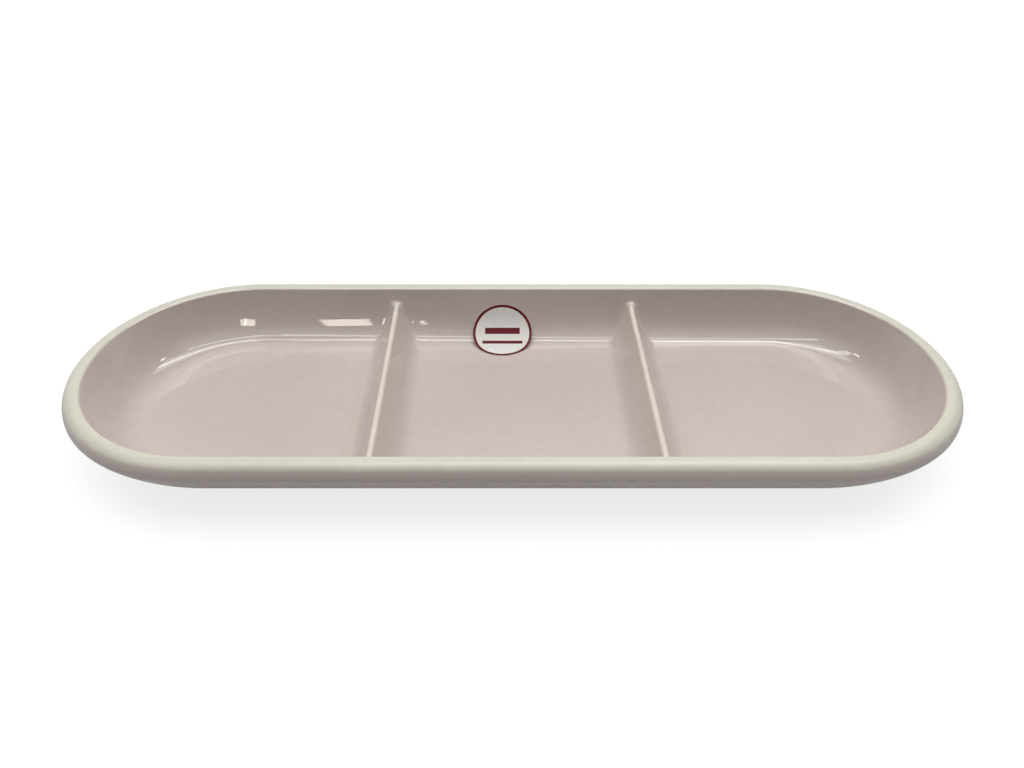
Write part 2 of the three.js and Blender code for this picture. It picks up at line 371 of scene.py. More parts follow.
def maths(tree, operation, first, second, x, y):
    item = put(tree, "ShaderNodeMath", x, y, operation=operation)
    for socket, value in zip(item.inputs, (first, second)):
        if value is None:
            continue
        if isinstance(value, (int, float)):
            socket.default_value = value
        else:
            join(tree, value, socket)
    return item.outputs[0]


def vectors(tree, operation, first, second, x, y):
    item = put(tree, "ShaderNodeVectorMath", x, y, operation=operation)
    join(tree, first, item.inputs[0])
    if operation == "SCALE":
        join(tree, second, item.inputs["Scale"])
    elif second is not None:
        join(tree, second, item.inputs[1])
    return item.outputs[0]


def split(tree, vector, x, y):
    item = put(tree, "ShaderNodeSeparateXYZ", x, y)
    join(tree, vector, item.inputs[0])
    return item.outputs


def sampled(tree, shape, value, index, kind, x, y):
    """A value read at one point of another shape."""
    item = put(tree, "GeometryNodeSampleIndex", x, y, data_type=kind)
    join(tree, shape, item.inputs["Geometry"])
    join(tree, value, item.inputs["Value"])
    join(tree, index, item.inputs["Index"])
    return item.outputs[0]


def point_count(tree, shape, x, y):
    item = put(tree, "GeometryNodeAttributeDomainSize", x, y)
    join(tree, shape, item.inputs["Geometry"])
    return item.outputs["Point Count"]


# Geometry Nodes: a section carried round the dish

def carry_section_tree():
    tree = bpy.data.node_groups.new("carry_section_round", "GeometryNodeTree")
    face = tree.interface
    for label, kind in (
        ("Section", "NodeSocketGeometry"),
        ("Outline", "NodeSocketObject"),
        ("Straight Half", "NodeSocketFloat"),
        ("Weld", "NodeSocketFloat"),
        ("Finish", "NodeSocketMaterial"),
    ):
        face.new_socket(label, in_out="INPUT", socket_type=kind)
    face.new_socket("Shell", in_out="OUTPUT", socket_type="NodeSocketGeometry")
    source = put(tree, "NodeGroupInput", -1400, 0)
    target = put(tree, "NodeGroupOutput", 1400, 0)
    guide = put(tree, "GeometryNodeObjectInfo", -1200, -300)
    join(tree, source.outputs["Outline"], guide.inputs["Object"])

    section = source.outputs["Section"]
    path = guide.outputs["Geometry"]
    row_count = point_count(tree, section, -1200, 200)
    column_count = point_count(tree, path, -1000, -300)

    grid = put(tree, "GeometryNodeMeshGrid", -700, 300)
    closing = maths(tree, "ADD", column_count, 1.0, -850, 300)
    join(tree, closing, grid.inputs["Vertices X"])
    join(tree, row_count, grid.inputs["Vertices Y"])

    index = put(tree, "GeometryNodeInputIndex", -900, 0).outputs[0]
    row = maths(tree, "MODULO", index, row_count, -700, 50)
    share = maths(tree, "DIVIDE", index, row_count, -700, -100)
    step = maths(tree, "FLOOR", share, None, -550, -100)
    column = maths(tree, "MODULO", step, column_count, -400, -100)

    spot = put(tree, "GeometryNodeInputPosition", -600, -400).outputs[0]
    on_section = sampled(
        tree, section, spot, row, "FLOAT_VECTOR", -300, 200,
    )
    on_outline = sampled(
        tree, path, spot, column, "FLOAT_VECTOR", -300, -200,
    )

    half = source.outputs["Straight Half"]
    part = split(tree, on_outline, -100, -300)
    low = maths(tree, "MULTIPLY", half, -1.0, -100, -500)
    above = maths(tree, "MAXIMUM", part["X"], low, 50, -400)
    held = maths(tree, "MINIMUM", above, half, 200, -400)
    base = put(tree, "ShaderNodeCombineXYZ", 350, -400)
    join(tree, held, base.inputs["X"])
    outward = vectors(
        tree, "SUBTRACT", on_outline, base.outputs[0], 350, -200,
    )
    unit = vectors(tree, "NORMALIZE", outward, None, 500, -200)
    reach = split(tree, on_section, 350, 200)
    swung = vectors(tree, "SCALE", unit, reach["X"], 650, -200)
    level = put(tree, "ShaderNodeCombineXYZ", 650, 100)
    join(tree, held, level.inputs["X"])
    join(tree, reach["Z"], level.inputs["Z"])
    final = vectors(tree, "ADD", swung, level.outputs[0], 800, 0)

    named = put(tree, "GeometryNodeInputNamedAttribute", -500, 500)
    named.data_type = "FLOAT"
    named.inputs["Name"].default_value = "cream_edge"
    edge = named.outputs["Attribute"]
    edge_at = sampled(tree, section, edge, row, "FLOAT", -300, 500)
    store = put(tree, "GeometryNodeStoreNamedAttribute", 700, 400)
    store.data_type = "FLOAT"
    store.domain = "POINT"
    store.inputs["Name"].default_value = "cream_edge"
    join(tree, grid.outputs["Mesh"], store.inputs["Geometry"])
    join(tree, edge_at, store.inputs["Value"])

    moved = put(tree, "GeometryNodeSetPosition", 900, 300)
    join(tree, store.outputs["Geometry"], moved.inputs["Geometry"])
    join(tree, final, moved.inputs["Position"])
    weld = put(tree, "GeometryNodeMergeByDistance", 1000, 100)
    join(tree, moved.outputs["Geometry"], weld.inputs["Geometry"])
    join(tree, source.outputs["Weld"], weld.inputs["Distance"])
    real = put(tree, "GeometryNodeRealizeInstances", 1100, 300)
    join(tree, weld.outputs["Geometry"], real.inputs["Geometry"])
    dressed = put(tree, "GeometryNodeSetMaterial", 1250, 300)
    join(tree, real.outputs["Geometry"], dressed.inputs["Geometry"])
    join(tree, source.outputs["Finish"], dressed.inputs["Material"])
    join(tree, dressed.outputs["Geometry"], target.inputs["Shell"])
    return tree


def socket_names(tree):
    return {
        item.name: item.identifier
        for item in tree.interface.items_tree
        if item.item_type == "SOCKET" and item.in_out == "INPUT"
    }


def signed_volume(mesh):
    mesh.calc_loop_triangles()
    spots = np.empty(len(mesh.vertices) * 3)
    mesh.vertices.foreach_get("co", spots)
    corners = np.empty(len(mesh.loop_triangles) * 3, dtype=np.int32)
    mesh.loop_triangles.foreach_get("vertices", corners)
    a, b, c = spots.reshape(-1, 3)[corners.reshape(-1, 3)].transpose(1, 0, 2)
    return float(np.einsum("ij,ij->", a, np.cross(b, c)) / 6)


def carried(name, tree, guide, section, edge, finish):
    """A section of radius and height, carried round the dish."""
    verts = [(r * MM, 0.0, z * MM) for r, z in section]
    links = [(i, i + 1) for i in range(len(verts) - 1)]
    start = bpy.data.meshes.new(name + "_section")
    start.from_pydata(verts, links, [])
    add_marks(start, {"cream_edge": edge})
    maker = bpy.data.objects.new(name + "_section", start)
    bpy.context.scene.collection.objects.link(maker)
    modifier = maker.modifiers.new("carry", "NODES")
    modifier.node_group = tree
    names = socket_names(tree)
    modifier[names["Outline"]] = guide
    modifier[names["Straight Half"]] = straight_half * MM
    modifier[names["Weld"]] = WELD
    modifier[names["Finish"]] = finish
    depsgraph = bpy.context.evaluated_depsgraph_get()
    mesh = bpy.data.meshes.new_from_object(maker.evaluated_get(depsgraph))
    mesh.name = name
    maker.modifiers.remove(modifier)
    bpy.data.objects.remove(maker)
    bpy.data.meshes.remove(start)
    if signed_volume(mesh) < 0:
        mesh.flip_normals()
    mesh.shade_smooth()
    mesh.set_sharp_from_angle(angle=SHARP_ANGLE)
    return add_object(name, mesh, finish)


# Materials

def new_finish(name):
    finish = bpy.data.materials.new(name)
    finish.use_nodes = True
    tree = finish.node_tree
    shader = tree.nodes["Principled BSDF"]
    shader.location = (900, 0)
    tree.nodes["Material Output"].location = (1200, 0)
    coords = put(tree, "ShaderNodeTexCoord", -1400, 0)
    return finish, tree, shader, coords.outputs["Object"]


def noise(tree, coords, scale, detail, x, y):
    item = put(tree, "ShaderNodeTexNoise", x, y)
    item.inputs["Scale"].default_value = scale
    item.inputs["Detail"].default_value = detail
    join(tree, coords, item.inputs["Vector"])
    return item.outputs["Fac"]


def ramp(tree, value, span, tones, x, y):
    """From one tone to another as a value crosses its span."""
    item = put(tree, "ShaderNodeValToRGB", x, y)
    points = item.color_ramp.elements
    for point, place, tone in zip(points, span, tones):
        point.position = place
        point.color = (*tone, 1.0)
    join(tree, value, item.inputs["Fac"])
    return item.outputs["Color"]


def ranged(tree, value, source, target, x, y, kind="LINEAR"):
    item = put(tree, "ShaderNodeMapRange", x, y, interpolation_type=kind)
    item.inputs["From Min"].default_value = source[0]
    item.inputs["From Max"].default_value = source[1]
    item.inputs["To Min"].default_value = target[0]
    item.inputs["To Max"].default_value = target[1]
    join(tree, value, item.inputs["Value"])
    return item.outputs["Result"]


def blended(tree, factor, first, second, x, y, kind="MIX"):
    item = put(tree, "ShaderNodeMix", x, y, data_type="RGBA", blend_type=kind)
    sockets = {"A": item.inputs[6], "B": item.inputs[7]}
    for key, value in (("A", first), ("B", second)):
        if isinstance(value, tuple):
            sockets[key].default_value = (*value, 1.0)
        else:
            join(tree, value, sockets[key])
    if isinstance(factor, float):
        item.inputs[0].default_value = factor
    else:
        join(tree, factor, item.inputs[0])
    return item.outputs[2]


def attribute(tree, name, x, y):
    item = put(tree, "ShaderNodeAttribute", x, y)
    item.attribute_type = "GEOMETRY"
    item.attribute_name = name
    return item


def bumped(tree, shader, height, distance, strength, x, y):
    item = put(tree, "ShaderNodeBump", x, y)
    item.inputs["Distance"].default_value = distance
    item.inputs["Strength"].default_value = strength
    join(tree, height, item.inputs["Height"])
    join(tree, item.outputs["Normal"], shader.inputs["Normal"])


NOISE_SPAN = (0.3, 0.7)
SPOT_CORE = 0.6

# Glaze: colours, then its patterns as scale and detail, or as the scale,
# size and share of spots, and bumps as height and strength
MAUVE_TONES = ((0.552, 0.476, 0.444), (0.590, 0.511, 0.477))
CREAM_TONES = ((0.622, 0.604, 0.497), (0.672, 0.653, 0.545))
MOTTLE_TONES = ((0.955, 0.955, 0.955), (1.0, 1.0, 1.0))
# Ridge colour: pale cream glaze, brightened as a painted highlight of the
# rounded ridge top
RIDGE_PALE_AND_HIGHLIGHT = (0.80, 0.735, 0.655)
# Thin glaze on the flanks; the same colour also paints a highlight line along
# the partition bases
THIN_GLAZE_AND_HIGHLIGHT = (0.60, 0.525, 0.47)
SPECK = (0.20, 0.14, 0.11)
RIDGE_SHARE = 0.8
CREAM_SATIN = 0.36
INSIDE_GLOSS = (0.03, 0.06)
OUTSIDE_GLOSS = (0.17, 0.25)
GLAZE_IOR = 1.5
GLAZE_CLOUD = (18.0, 3.0)
GLAZE_MOTTLE = (320.0, 4.0)
GLAZE_SPOTS = (130.0, 0.035, 0.05)
GLOSS_PATCHES = (45.0, 2.0)
GLAZE_WAVES = (70.0, 1.0)
WAVE_BUMP = (0.0002, 0.12)
BORDER_WANDER = (120.0, 2.0)
WANDER_SPAN = (0.25, 0.75)
WANDER_REACH = (-0.15, 0.15)
BORDER_SPAN = (-0.45, 0.45)


def speckled(tree, coords, scale, size, share, x, y):
    """Small round spots in a few of the cells of a cell pattern."""
    cells = put(tree, "ShaderNodeTexVoronoi", x, y)
    cells.inputs["Scale"].default_value = scale
    join(tree, coords, cells.inputs["Vector"])
    spot = ranged(
        tree, cells.outputs["Distance"], (size * SPOT_CORE, size),
        (1.0, 0.0), x + 200, y,
    )
    chance = put(tree, "ShaderNodeSeparateColor", x + 200, y - 200)
    join(tree, cells.outputs["Color"], chance.inputs[0])
    few = maths(
        tree, "GREATER_THAN", chance.outputs[0], 1.0 - share,
        x + 400, y - 200,
    )
    return maths(tree, "MULTIPLY", spot, few, x + 600, y)


def glaze_finish(name, gloss):
    finish, tree, shader, coords = new_finish(name)
    cloud = noise(tree, coords, *GLAZE_CLOUD, -1100, 500)
    mauve = ramp(tree, cloud, NOISE_SPAN, MAUVE_TONES, -900, 500)
    cream = ramp(tree, cloud, NOISE_SPAN, CREAM_TONES, -900, 250)
    # Thin glaze on the partition flanks, plus a painted highlight line along
    # their bases
    thin_and_highlight = attribute(tree, "thin_glaze_and_highlight", -1100, 750)
    mauve = blended(tree, thin_and_highlight.outputs["Fac"], mauve, THIN_GLAZE_AND_HIGHLIGHT, -600, 600)
    edge = attribute(tree, "cream_edge", -1100, 0)
    wander = noise(tree, coords, *BORDER_WANDER, -1100, -150)
    shift = ranged(tree, wander, WANDER_SPAN, WANDER_REACH, -900, -150)
    moved = maths(tree, "ADD", edge.outputs["Fac"], shift, -700, 0)
    share = ranged(
        tree, moved, BORDER_SPAN, (1.0, 0.0), -500, 0, "SMOOTHSTEP",
    )
    # Ridge lines: cream glaze in a pale colour that is partly a painted
    # highlight, widened near the wall by a painted highlight flare
    ridge = attribute(tree, "ridge_line", -1100, 150)
    full = ranged(
        tree, ridge.outputs["Fac"], (0.0, 1.0), (1.0, RIDGE_SHARE),
        -500, 150,
    )
    share = maths(tree, "MULTIPLY", share, full, -350, 50)
    pale_and_highlight = blended(tree, ridge.outputs["Fac"], cream, RIDGE_PALE_AND_HIGHLIGHT, -600, 250)
    colour = blended(tree, share, mauve, pale_and_highlight, -300, 300)
    mottle = noise(tree, coords, *GLAZE_MOTTLE, -1100, -400)
    grain = ramp(tree, mottle, NOISE_SPAN, MOTTLE_TONES, -900, -400)
    colour = blended(tree, 1.0, colour, grain, -100, 300, "MULTIPLY")
    spots = speckled(tree, coords, *GLAZE_SPOTS, -1100, -750)
    colour = blended(tree, spots, colour, SPECK, 200, 300)
    join(tree, colour, shader.inputs["Base Color"])
    uneven = noise(tree, coords, *GLOSS_PATCHES, -1100, -1100)
    rough = ranged(tree, uneven, NOISE_SPAN, gloss, -900, -1100)
    satin = ranged(
        tree, share, (RIDGE_SHARE, 1.0), (0.0, CREAM_SATIN), -700, -1250,
    )
    rough = maths(tree, "ADD", rough, satin, -500, -1100)
    join(tree, rough, shader.inputs["Roughness"])
    shader.inputs["IOR"].default_value = GLAZE_IOR
    waves = noise(tree, coords, *GLAZE_WAVES, -1100, -1350)
    bumped(tree, shader, waves, *WAVE_BUMP, 600, -300)
    return finish


# Bare clay, rubbed where it stands on the table
CLAY_TONES = ((0.56, 0.48, 0.385), (0.72, 0.64, 0.53))
CLAY_GRIT = (0.30, 0.23, 0.17)
CLAY_RUBBED = (0.47, 0.43, 0.37)
CLAY_ROUGH = (0.78, 0.95)
CLAY_CLOUD = (60.0, 5.0)
CLAY_SPOTS = (900.0, 0.25, 0.12)
CLAY_SCUFF = (150.0, 4.0)
SCUFF_HEIGHT = 0.0006
CLAY_GRAIN = (1400.0, 3.0)
GRAIN_BUMP = (0.0002, 0.5)


def clay_finish():
    finish, tree, shader, coords = new_finish("bare_stoneware")
    cloud = noise(tree, coords, *CLAY_CLOUD, -1100, 400)
    base = ramp(tree, cloud, NOISE_SPAN, CLAY_TONES, -900, 400)
    grit = speckled(tree, coords, *CLAY_SPOTS, -1100, 0)
    base = blended(tree, grit, base, CLAY_GRIT, -300, 300)
    height = split(tree, coords, -1100, -300)["Z"]
    scuff = noise(tree, coords, *CLAY_SCUFF, -1100, -500)
    low = ranged(
        tree, height, (0.0, SCUFF_HEIGHT), (1.0, 0.0), -900, -300,
    )
    worn = maths(tree, "MULTIPLY", low, scuff, -600, -400)
    base = blended(tree, worn, base, CLAY_RUBBED, 0, 300)
    join(tree, base, shader.inputs["Base Color"])
    rough = ranged(tree, cloud, NOISE_SPAN, CLAY_ROUGH, -600, 0)
    join(tree, rough, shader.inputs["Roughness"])
    grain = noise(tree, coords, *CLAY_GRAIN, -1100, -800)
    bumped(tree, shader, grain, *GRAIN_BUMP, 600, -300)
    return finish


# Label: paper, a printed ring, and bars as middle and half size
PAPER_TONES = ((0.68, 0.66, 0.62), (0.735, 0.72, 0.685))
PAPER_SPAN = (0.3, 0.6)
CRIMSON_TONES = ((0.10, 0.002, 0.007), (0.13, 0.006, 0.013))
CRIMSON_SPAN = (0.35, 0.7)
PAPER_ROUGH = (0.5, 0.62)
PAPER_SPECULAR = 0.12
PAPER_FIBRE = (700.0, 4.0)
FIBRE_BUMP = (0.00005, 0.3)
RING_OUTER = 11.55
RING_INNER = 10.5
PRINT_SOFT = 0.08
UPPER_BAR = (0.0, 1.0, 6.8, 1.3)
LOWER_BAR = (0.0, -4.0, 7.8, 0.7)


def bar_share(tree, across, up, bar, x, y):
    middle_x, middle_y, half_x, half_y = bar
    far_x = maths(tree, "SUBTRACT", across, middle_x, x, y)
    far_x = maths(tree, "ABSOLUTE", far_x, None, x + 150, y)
    far_x = maths(tree, "SUBTRACT", far_x, half_x, x + 300, y)
    far_y = maths(tree, "SUBTRACT", up, middle_y, x, y - 150)
    far_y = maths(tree, "ABSOLUTE", far_y, None, x + 150, y - 150)
    far_y = maths(tree, "SUBTRACT", far_y, half_y, x + 300, y - 150)
    outside = maths(tree, "MAXIMUM", far_x, far_y, x + 450, y)
    return ranged(
        tree, outside, (-PRINT_SOFT, PRINT_SOFT), (1.0, 0.0), x + 600, y,
    )


def paper_finish():
    finish, tree, shader, coords = new_finish("label_paper")
    across = attribute(tree, "label_across", -1400, 500).outputs["Fac"]
    up = attribute(tree, "label_up", -1400, 300).outputs["Fac"]
    square_x = maths(tree, "MULTIPLY", across, across, -1200, 500)
    square_y = maths(tree, "MULTIPLY", up, up, -1200, 300)
    square = maths(tree, "ADD", square_x, square_y, -1050, 400)
    radius = maths(tree, "SQRT", square, None, -900, 400)
    inside = ranged(
        tree, radius, (RING_OUTER - PRINT_SOFT, RING_OUTER + PRINT_SOFT),
        (1.0, 0.0), -700, 500,
    )
    beyond = ranged(
        tree, radius, (RING_INNER - PRINT_SOFT, RING_INNER + PRINT_SOFT),
        (0.0, 1.0), -700, 300,
    )
    ring = maths(tree, "MULTIPLY", inside, beyond, -500, 400)
    upper = bar_share(tree, across, up, UPPER_BAR, -1200, -100)
    lower = bar_share(tree, across, up, LOWER_BAR, -1200, -500)
    bars = maths(tree, "MAXIMUM", upper, lower, -400, -300)
    ink = maths(tree, "MAXIMUM", ring, bars, -200, 100)
    fibre = noise(tree, coords, *PAPER_FIBRE, -1100, -900)
    sheet = ramp(tree, fibre, PAPER_SPAN, PAPER_TONES, -800, -900)
    tint = ramp(tree, fibre, CRIMSON_SPAN, CRIMSON_TONES, -800, -1150)
    colour = blended(tree, ink, sheet, tint, 200, 100)
    join(tree, colour, shader.inputs["Base Color"])
    rough = ranged(tree, fibre, NOISE_SPAN, PAPER_ROUGH, -500, -900)
    shader.inputs["Specular IOR Level"].default_value = PAPER_SPECULAR
    join(tree, rough, shader.inputs["Roughness"])
    bumped(tree, shader, fibre, *FIBRE_BUMP, 600, -300)
    return finish


mauve_glaze = glaze_finish("mauve_glaze", INSIDE_GLOSS)
cream_glaze = glaze_finish("cream_glaze", INSIDE_GLOSS)
outer_mauve = glaze_finish("outer_mauve_glaze", OUTSIDE_GLOSS)
bare_stoneware = clay_finish()
label_paper = paper_finish()


# The inside coats: one surface, shared out between wells and ridge lines

RIDGE_LINES = (
    0.0, 0.3, 0.6, 0.85, RIDGE_BAND_HALF, 1.4, 1.8, 2.3, 2.8, 3.3, 3.8,
    4.3, 4.8, 5.3, 5.8, 6.3, 6.8, 7.3, 7.8, 8.3, 8.8, 9.25, 9.7, 10.3,
    11.5,
)
FILL_STEP = 3.5
FLOOR_STEP = 3.5
# Painted highlight: a pale line along the base of each partition's outer
# flank, at this offset and width, fading out between these radii
BASE_HIGHLIGHT_SIDES = {"left": -1.0, "right": 1.0}
BASE_HIGHLIGHT_OFFSET = 9.0
BASE_HIGHLIGHT_WIDTH = 0.55
BASE_HIGHLIGHT_FADE_FROM = 32.0
BASE_HIGHLIGHT_FADE_TO = 35.0
FLANK_THIN = 0.5
FLANK_THIN_FROM = 0.05
FLANK_THIN_FULL = 0.7
SOFT_EDGE_GAP = 1.0
COVE_LEAD = 0.9
COVE_LEAD_STEPS = 4


def filled(start, end):
    steps = max(2, int(round(abs(end - start) / FILL_STEP)))
    return np.linspace(start, end, steps + 1)[1:-1].tolist()


def inside_places():
    """Where the cross lines of the inside meet its long axis."""
    lines = []
    for middle, turn in dividers.values():
        offsets = sorted({s * u for u in RIDGE_LINES for s in (-1, 1)})
        lines.append([middle + u / math.cos(turn) for u in offsets])
    left, right = lines
    return np.array(
        filled(-straight_half, left[0]) + left
        + filled(left[-1], right[0]) + right
        + filled(right[-1], straight_half)
    )


def inside_radii():
    soft_edge = outer_radius - END_FLOOR_INSET
    floor = np.concatenate([
        np.arange(0.0, soft_edge - SOFT_EDGE_GAP, FLOOR_STEP),
        np.linspace(
            soft_edge, floor_radius - COVE_LEAD, COVE_LEAD_STEPS + 1,
        ),
    ])
    wall = inner_wall(WALL_STEPS)[:, 0]
    sweeps = np.linspace(LIP_INNER_SWEEP, BAND_INNER_SWEEP, LIP_STEPS)
    lip = inner_lip(sweeps)[1:, 0]
    radii = np.concatenate([floor, wall, lip])
    nearest = np.argmin(np.abs(radii - RIDGE_LINE_END))
    radii[nearest] = RIDGE_LINE_END
    return radii


def inside_grid():
    places = inside_places()
    steps = outline(places)
    radii = inside_radii()
    knots = [
        -straight_half, LEFT_DIVIDER_X, RIGHT_DIVIDER_X, straight_half,
    ]
    leans = [
        0.0, -math.tan(LEFT_DIVIDER_TURN), -math.tan(RIGHT_DIVIDER_TURN), 0.0,
    ]
    lean = np.interp(steps[:, 0], knots, leans)
    y = radii[None, :] * steps[:, 2][:, None]
    x = steps[:, 0][:, None] + radii[None, :] * steps[:, 1][:, None]
    return x + lean[:, None] * y, y


def inside_surface():
    x, y = inside_grid()
    columns, rows = x.shape
    flat = np.stack([x.ravel(), y.ravel()], axis=-1)
    keys = np.round(flat, SPOT_DIGITS) + 0.0
    _, first, numbers = np.unique(
        keys, axis=0, return_index=True, return_inverse=True,
    )
    numbers = numbers.reshape(columns, rows)
    x = flat[first, 0]
    y = flat[first, 1]
    points = np.stack([x, y, inside_height(x, y)], axis=-1)
    normals = inside_normals(x, y)
    faces = []
    for j in range(columns):
        k = (j + 1) % columns
        for i in range(rows - 1):
            ring = (
                numbers[j, i], numbers[j, i + 1],
                numbers[k, i + 1], numbers[k, i],
            )
            ring = tuple(dict.fromkeys(int(n) for n in ring))
            if len(ring) > 2:
                faces.append(ring)
    return points, normals, faces


def inside_marks(points):
    x, y = points[:, 0], points[:, 1]
    radius = radius_at(x, y)
    run = np.interp(radius, bowl_table[:, 0], bowl_run)
    edge = band_run - run
    thin_and_highlight = np.zeros_like(x)
    ridge = np.zeros_like(x)
    climb = radius + np.maximum(points[:, 2] - ridge_top, 0.0)
    past = climb - RIDGE_PALE_END
    # Near its end the ridge line widens into a painted highlight where the
    # ridge meets the wall
    highlight_flare = np.exp(-((past + RIDGE_HIGHLIGHT_BACK) / RIDGE_HIGHLIGHT_REACH) ** 2)
    half = RIDGE_LINE_HALF + RIDGE_HIGHLIGHT_FLARE * highlight_flare
    for name, divider in dividers.items():
        side = BASE_HIGHLIGHT_SIDES[name] * offset_from(divider, x, y)
        offset = np.abs(side)
        line = RIDGE_LINE_SOFT * np.maximum(offset - half, past)
        ridge = np.where(line < edge, 1.0, ridge)
        edge = np.minimum(edge, line)
        rise = np.interp(offset, flank_table[:, 0], flank_table[:, 1])
        share = (rise - floor_top) / (ridge_top - floor_top)
        flank = smooth_step(FLANK_THIN_FROM, FLANK_THIN_FULL, share)
        thin_and_highlight = np.maximum(thin_and_highlight, FLANK_THIN * flank)
        # Painted highlight: a thin pale line along the base of each outer
        # flank, fading out towards the wall
        painted_base_highlight = np.exp(-((side - BASE_HIGHLIGHT_OFFSET) / BASE_HIGHLIGHT_WIDTH) ** 2)
        fade = smooth_step(BASE_HIGHLIGHT_FADE_FROM, BASE_HIGHLIGHT_FADE_TO, radius)
        thin_and_highlight = np.maximum(thin_and_highlight, painted_base_highlight * (1.0 - fade))
    return {"cream_edge": edge, "thin_glaze_and_highlight": thin_and_highlight, "ridge_line": ridge}


INSIDE_FINISHES = {
    "well_coat_left": mauve_glaze,
    "well_coat_centre": mauve_glaze,
    "well_coat_right": mauve_glaze,
    "ridge_line_left": cream_glaze,
    "ridge_line_right": cream_glaze,
}


def share_out(points, faces):
    """Which piece each face of the inside belongs to."""
    groups = {name: [] for name in INSIDE_FINISHES}
    for face in faces:
        x, y, _ = points[list(face)].mean(axis=0)
        radius = float(radius_at(x, y))
        left = offset_from(dividers["left"], x, y)
        right = offset_from(dividers["right"], x, y)
        on_line = radius < RIDGE_LINE_END
        if on_line and abs(left) < RIDGE_BAND_HALF:
            groups["ridge_line_left"].append(face)
        elif on_line and abs(right) < RIDGE_BAND_HALF:
            groups["ridge_line_right"].append(face)
        elif left < 0:
            groups["well_coat_left"].append(face)
        elif right > 0:
            groups["well_coat_right"].append(face)
        else:
            groups["well_coat_centre"].append(face)
    return groups


def inside_coats():
    points, normals, faces = inside_surface()
    marks = inside_marks(points)
    made = {}
    for name, group in share_out(points, faces).items():
        made[name] = coat(
            name, points, normals, group, GLAZE, marks,
            INSIDE_FINISHES[name],
        )
    return made


# Coats and clay that run round the dish

OUTER_EDGE_SOFT = 0.5
OUTER_EDGE_SHIFT = 1.2
CLAY_FLOOR_LEAD = 2.0


def with_hairlines(sweeps):
    """Adds a very short step at both ends, so that joins shade as one."""
    start, end = sweeps[0], sweeps[-1]
    small = HAIRLINE * np.sign(end - start)
    return np.concatenate([
        [start, start + small], sweeps[1:-1], [end - small, end],
    ])


def rim_section():
    inside = np.linspace(BAND_INNER_SWEEP, 0.0, LIP_STEPS + 1)
    outside = np.linspace(0.0, BAND_OUTER_SWEEP, LIP_STEPS + 1)
    front = np.vstack([
        inner_lip(with_hairlines(inside))[:-2],
        inner_lip(np.zeros(1)),
        outer_lip(with_hairlines(outside))[2:],
    ])
    run = run_length(front)
    outer_edge = OUTER_EDGE_SOFT * (run[-1] - run + OUTER_EDGE_SHIFT)
    edge = -np.minimum(run, outer_edge)
    back = sunk(front, GLAZE)
    section = np.vstack([front, back[::-1], front[:1]])
    return section, np.concatenate([edge, edge[::-1], edge[:1]])


def outer_front():
    sweeps = np.linspace(BAND_OUTER_SWEEP, math.pi / 2, LIP_STEPS + 1)
    lip = outer_lip(sweeps)
    second = BAND_OUTER_SWEEP + HAIRLINE
    start = outer_lip(np.array([BAND_OUTER_SWEEP, second]))
    return np.vstack([start, lip[1:], outer_wall(WALL_STEPS)[1:]])


def outer_section():
    front = outer_front()
    back = sunk(front, GLAZE)
    run = run_length(front)
    middle = (front[-1] + back[-1]) / 2
    toward = (front[-1] - front[-2]) / np.linalg.norm(front[-1] - front[-2])
    across = (front[-1] - back[-1]) / 2
    nose = []
    for angle in np.linspace(0, math.pi, ROUND_STEPS + 1)[1:-1]:
        bulge = math.sin(angle) * toward * GLAZE / 2
        nose.append(middle + math.cos(angle) * across + bulge)
    section = np.vstack([front, nose, back[::-1], front[:1]])
    edge = OUTER_EDGE_SOFT * (run - OUTER_EDGE_SHIFT)
    tail = np.full(len(nose), edge[-1])
    return section, np.concatenate([edge, tail, edge[::-1], edge[:1]])


def rounded(centre_r, centre_z, start, end):
    angles = np.radians(np.linspace(start, end, ROUND_STEPS + 1))
    return np.stack([
        centre_r + FOOT_ROUND * np.cos(angles),
        centre_z + FOOT_ROUND * np.sin(angles),
    ], axis=-1)


def clay_section():
    wells = np.vstack([
        [[0.0, floor_top], [floor_radius - CLAY_FLOOR_LEAD, floor_top]],
        inner_wall(WALL_STEPS),
    ])
    sweeps = np.linspace(LIP_INNER_SWEEP, 0.0, LIP_STEPS)[1:]
    over = np.linspace(0.0, math.pi / 2, LIP_STEPS)[1:]
    surface = np.vstack([
        wells, inner_lip(sweeps), outer_lip(over),
        outer_wall(WALL_STEPS)[1:],
    ])
    under = sunk(surface, CLAY_DEPTH)
    under[0, 0] = 0.0
    recess = FOOT_HEIGHT + CLAY_DEPTH
    foot = np.vstack([
        [[foot_radius, FOOT_HEIGHT]],
        rounded(foot_radius - FOOT_ROUND, FOOT_ROUND, 0, -90),
        rounded(foot_inner + FOOT_ROUND, FOOT_ROUND, -90, -180),
        [[foot_inner, recess], [0.0, recess]],
    ])
    section = np.vstack([under, foot])
    return section, np.full(len(section), NO_CREAM)


def base_section():
    face = FOOT_HEIGHT
    back = FOOT_HEIGHT + GLAZE
    edge = foot_inner - BASE_GAP
    brim = [[edge - inset, face - drop] for inset, drop in BASE_BRIM]
    section = np.array([[0.0, back], [edge, back], *brim, [0.0, face]])
    return section, np.full(len(section), NO_CREAM)


